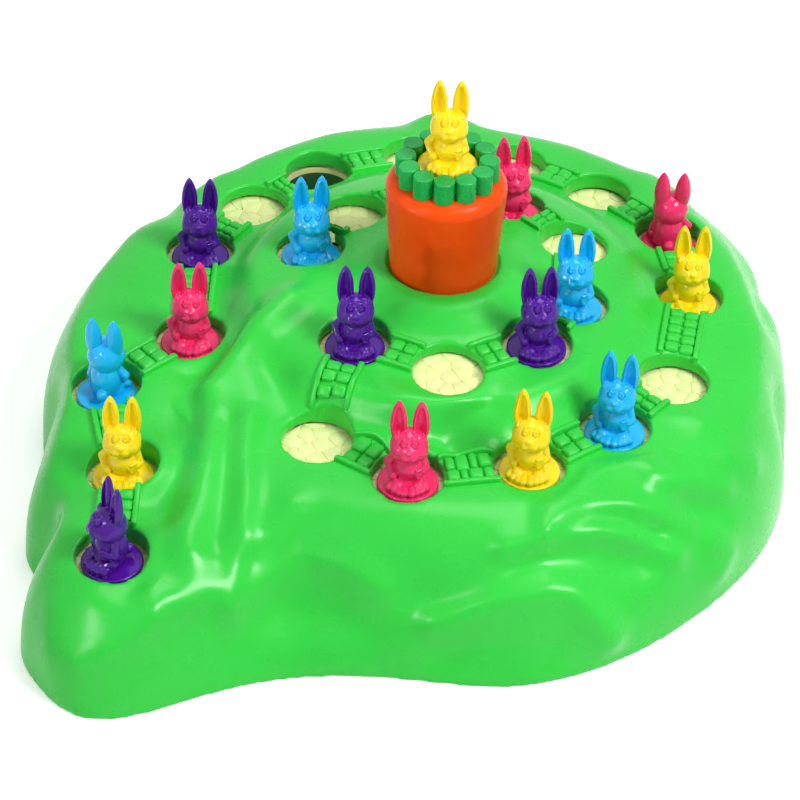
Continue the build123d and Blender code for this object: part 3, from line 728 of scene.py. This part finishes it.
def rabbit_body(p):
    """Body, tail and two broad feet side by side, each with four toes."""
    body = ball(p, (0, 0.7, 9.6), (6.0, 5.5, 8.6))
    body = join(body, ball(p, (0, -1.4, 10.4), (5.4, 4.9, 5.4)), 0.8)
    body = join(body, ball(p, (0, 6.6, 6.0), (2.3, 2.2, 2.3)), 0.5)
    body = join(body, ball(p, (0, -1.8, 3.8), (6.2, 5.4, 2.4)), 0.6)
    for side in (-1, 1):
        body = join(body, rod(p, (2.9 * side, -2.0, 4.4), (3.8 * side, -5.4, 4.1), 2.9, 2.7), 0.4)
        for toe in range(TOES):
            aside = 1.95 * (toe - 1.5)
            short = 0.4 * abs(toe - 1.5)
            heel = (side * (3.9 + 0.9 * aside), -6.2 + 0.5 * aside, 4.5)
            tip = (side * (4.2 + 0.95 * aside), -8.5 + 0.6 * aside + short, 3.6)
            body = join(body, rod(p, heel, tip, 1.25, 1.5), 0.1)
    return body


def rabbit_arms(p):
    """One arm hangs to the hip, the other is bent with its hand on the belly."""
    arms = rod(p, (-5.0, -0.2, 15.2), (-7.6, -0.4, 12.2), 1.7, 1.7)
    arms = join(arms, rod(p, (-7.6, -0.4, 12.2), (-6.2, -3.4, 8.6), 1.7, 1.5), 0.3)
    arms = join(arms, ball(p, (-5.8, -4.2, 8.0), (1.7, 1.6, 2.1)), 0.25)
    arms = join(arms, rod(p, (5.0, -0.4, 15.0), (6.3, -1.4, 10.0), 1.7, 1.8), 0.3)
    arms = join(arms, rod(p, (6.3, -1.4, 10.0), (5.2, -3.6, 10.2), 1.8, 1.6), 0.3)
    for finger in range(FINGERS):
        level = 11.9 - 1.15 * finger
        reach = 2.7 + 0.5 * abs(finger - 1.2)
        arms = join(arms, rod(p, (5.0, -4.6, level), (reach, -5.8, level - 0.1), 0.75, 0.65), 0.1)
    return arms


def rabbit_head(p):
    """Head with full cheeks, a muzzle, and eyes set in hollows under their brows."""
    head = join(ball(p, HEAD, HEAD_SIZE), ball(p, on_head(0, 0, 1.4), (3.6, 2.6, 2.7)), 1.4)
    for side in (-1, 1):
        head = join(head, ball(p, on_head(48 * side, -14, 2.8), (3.7, 3.3, 3.2)), 1.5)
        head = join(head, ball(p, on_head(12 * side, -5, -0.2), (1.7, 1.4, 1.4)), 0.2)
        head = carve(head, ball(p, on_head(22 * side, 40, -0.2), (1.75, 1.6, 2.1)), 0.15)
        head = join(head, ball(p, on_head(21 * side, 39, 0.5), (1.25, 1.2, 1.65)), 0.1)
        head = carve(head, ball(p, on_head(18 * side, 39, -0.75), (0.55, 0.5, 0.8)), 0.1)
        brow = (on_head(8 * side, 60, 0.1), on_head(32 * side, 54, 0.1))
        head = join(head, rod(p, *brow, 0.5, 0.4), 0.2)
    head = join(head, ball(p, on_head(0, -18, 0.1), (1.3, 1.1, 0.9)), 0.25)
    return join(head, ball(p, on_head(0, 13, -0.6), (1.25, 0.95, 0.85)), 0.15)


def rabbit_ear(p, side):
    """A pointed ear, narrow at its foot, with a hollow front and tufts of fur below the hollow."""
    x, y, z = p
    height = np.clip((z - EAR_FOOT) / (EAR_TIP - EAR_FOOT), 0, 1)
    middle = side * (4.1 + 0.1 * height)
    lean = 0.4 + 1.1 * height
    above = np.clip((height - EAR_WIDEST) / (1 - EAR_WIDEST), 0, 1)
    below = np.clip((EAR_WIDEST - height) / EAR_WIDEST, 0, 1)
    taper = np.clip(1 - above**2.0, 1e-3, 1) ** 0.7 * (1 - 0.4 * below**2)
    wide, thick = 3.3 * taper, 2.3 * taper + 0.1
    ear = np.sqrt(((x - middle) / wide) ** 2 + ((y - lean) / thick) ** 2) - 1
    ear = np.maximum(ear * np.minimum(wide, thick), np.maximum(EAR_FOOT - z, z - EAR_TIP))
    inside = np.maximum(wide - 1.15, 0.3)
    across = (x - middle) / inside
    deep = (y - lean + thick) / (1.25 * inside)
    hollow = (np.sqrt(across**2 + deep**2) - 1) * inside
    hollow = np.maximum(hollow, np.maximum(EAR_FOOT + 3.4 - z, z - EAR_TIP + 2.6))
    ear = carve(ear, hollow, 0.4)
    for strand in (-1, 0, 1):
        low = (side * (4.0 + 1.3 * strand), -2.7 + 0.3 * abs(strand), 25.0)
        high = (side * (4.1 + 1.1 * strand), -1.6, 27.4 - 0.5 * abs(strand))
        ear = join(ear, rod(p, low, high, 0.8, 0.35), 0.2)
    return ear


def rabbit_mesh():
    """The rabbit as one skin round its joined shapes."""
    reach = BASE_RADIUS + RABBIT_MARGIN
    low = (-reach, -reach, -RABBIT_MARGIN)
    high = (reach, reach, RABBIT_HEIGHT + RABBIT_MARGIN)
    axes = [np.arange(a, b, RABBIT_CELL, dtype=np.float32) for a, b in zip(low, high)]
    p = np.meshgrid(*axes, indexing="ij", sparse=True)
    figure = join(rabbit_body(p), rabbit_arms(p), 0.35)
    figure = join(figure, rabbit_head(p), 0.5)
    for side in (-1, 1):
        figure = join(figure, rabbit_ear(p, side), 0.45)
    figure = join(figure, rabbit_base(p), 0.35)
    grid = openvdb.FloatGrid()
    grid.copyFromArray(figure.astype(np.float32))
    points, faces = grid.convertToQuads(isovalue=0.0)
    mesh = bpy.data.meshes.new("rabbit")
    mesh.from_pydata((points * RABBIT_CELL + np.array(low)) * MM, [], faces[:, ::-1].tolist())
    mesh.shade_smooth()
    return mesh


def add_rabbits():
    sculpt = rabbit_mesh()
    for colour, turns in RABBIT_TURNS.items():
        for count, turn in enumerate(turns, start=1):
            name = f"{colour}_rabbit_{count}"
            low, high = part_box(name)
            middle = (low + high) / 2
            mesh = sculpt.copy()
            mesh.transform(Matrix.Rotation(math.radians(turn), 4, "Z"))
            mesh.transform(Matrix.Translation((middle.x, middle.y, low.z)))
            add_piece(f"{name}_sculpt", mesh, f"rabbit_{colour}", name, name)


# Stage


def camera_rays(nodes, links):
    """1 for what the camera sees directly, in a mirror or through glass, and 0 for other light."""
    path = nodes.new("ShaderNodeLightPath")
    total = path.outputs["Is Camera Ray"]
    for ray in ("Is Glossy Ray", "Is Transmission Ray"):
        add = nodes.new("ShaderNodeMath")
        add.operation = "MAXIMUM"
        links.new(total, add.inputs[0])
        links.new(path.outputs[ray], add.inputs[1])
        total = add.outputs["Value"]
    return total


def add_world(ambient):
    world = bpy.data.worlds.new("studio")
    bpy.context.scene.world = world
    world.use_nodes = True
    nodes, links = world.node_tree.nodes, world.node_tree.links
    background = nodes["Background"]
    background.inputs["Color"].default_value = WHITE
    level = nodes.new("ShaderNodeMapRange")
    level.inputs["To Min"].default_value = ambient
    level.inputs["To Max"].default_value = 1.0
    links.new(camera_rays(nodes, links), level.inputs["Value"])
    links.new(level.outputs["Result"], background.inputs["Strength"])


def add_floor(size):
    mesh = bpy.data.meshes.new("studio_floor")
    half = size / 2
    corners = [(-half, -half, 0), (half, -half, 0), (half, half, 0), (-half, half, 0)]
    mesh.from_pydata(corners, [], [(0, 1, 2, 3)])
    floor = add_object("studio_floor", mesh)
    material = bpy.data.materials.new("studio_white")
    material.use_nodes = True
    nodes, links = material.node_tree.nodes, material.node_tree.links
    shader = nodes["Principled BSDF"]
    shader.inputs["Base Color"].default_value = FLOOR_COLOUR
    shader.inputs["Roughness"].default_value = FLOOR_ROUGH
    shader.inputs["Specular IOR Level"].default_value = 0.0
    shader.inputs["Emission Color"].default_value = WHITE
    level = nodes.new("ShaderNodeMapRange")
    level.inputs["To Max"].default_value = FLOOR_GLOW
    links.new(camera_rays(nodes, links), level.inputs["Value"])
    links.new(level.outputs["Result"], shader.inputs["Emission Strength"])
    mesh.materials.append(material)


def hang(lamp, place, target, watts):
    """Puts a lamp at a place and turns it to a target."""
    lamp.energy = watts
    obj = add_object(lamp.name, lamp)
    obj.location = place
    way = Vector(target) - Vector(place)
    obj.rotation_euler = way.to_track_quat("-Z", "Y").to_euler()


def add_lamp(name, place, size, watts):
    lamp = bpy.data.lights.new(name, "AREA")
    lamp.size = size
    hang(lamp, place, LAMP_TARGET, watts)


def add_spot(name, place, target, cone, size, watts):
    """A lamp with a narrow beam that fades out to its edge."""
    lamp = bpy.data.lights.new(name, "SPOT")
    lamp.spot_size = math.radians(cone)
    lamp.spot_blend = 1.0
    lamp.shadow_soft_size = size
    hang(lamp, place, target, watts)


def add_camera():
    rise, roll = math.radians(CAMERA_RISE), math.radians(CAMERA_ROLL)
    forward = Vector((0.0, math.cos(rise), -math.sin(rise)))
    right = Vector((1.0, 0.0, 0.0))
    upward = right.cross(forward)
    across = math.cos(roll) * right + math.sin(roll) * upward
    upright = math.cos(roll) * upward - math.sin(roll) * right
    camera = bpy.data.cameras.new("camera")
    camera.lens = CAMERA_LENS
    camera.sensor_width = CAMERA_SENSOR
    obj = add_object("camera", camera)
    turn = Matrix((across, upright, -forward)).transposed().to_4x4()
    obj.matrix_world = Matrix.Translation(CAMERA_TARGET - CAMERA_DISTANCE * forward) @ turn
    bpy.context.scene.camera = obj


# The object

add_piece("moulded_hill", moulded_hill(), "hill_green", "hill", "hill_shell")
for number in range(1, START_WELLS + 1):
    node = f"start_floor_{number}"
    stones = stone_floor(node, [number], floor_level(number))
    add_piece(f"{node}_stones", stones, "floor_cream", "hill", node)
lower_numbers = [n for n in range(START_WELLS + 1, LAST_LOWER_WELL + 1) if n != TRAP_WELL]
lower_floor = stone_floor("lower_track", lower_numbers, LOWER_FLOOR)
add_piece("lower_track_stones", lower_floor, "floor_cream", "turntable", "lower_track")
upper_floor = stone_floor("upper_track", range(LAST_LOWER_WELL + 1, len(PATH) + 1), UPPER_FLOOR)
add_piece("upper_track_stones", upper_floor, "floor_cream", "turntable", "upper_track")
add_rabbits()

CAD_SLOTS = {
    "track_riser": "floor_cream",
    "carrot_body": "carrot_orange",
    "leaf_crown": "leaf_green",
    "ratchet_wheel": "white_plastic",
    "click_pawl": "white_plastic",
    "pivot_screw": "steel",
    "pawl_spring": "steel",
    "axle_washer": "steel",
    "axle_screw": "steel",
}
for node, slot in CAD_SLOTS.items():
    paint(frame["nodes"][node], slot)

# The studio

add_world(ambient=0.21)
add_floor(size=1.8)
add_lamp("key_lamp", (0.75, -0.5, 1.15), size=0.38, watts=14.0)
add_lamp("top_lamp", (0.15, 0.35, 1.4), size=0.6, watts=6.0)
add_lamp("fill_lamp", (-0.75, -0.85, 0.9), size=0.3, watts=4.0)
add_spot("carrot_lamp", (-0.75, -0.45, 0.17), (0.0, 0.0, 0.108), cone=7.0, size=0.06, watts=22.0)
add_camera()
bpy.context.scene.view_settings.view_transform = "Standard"
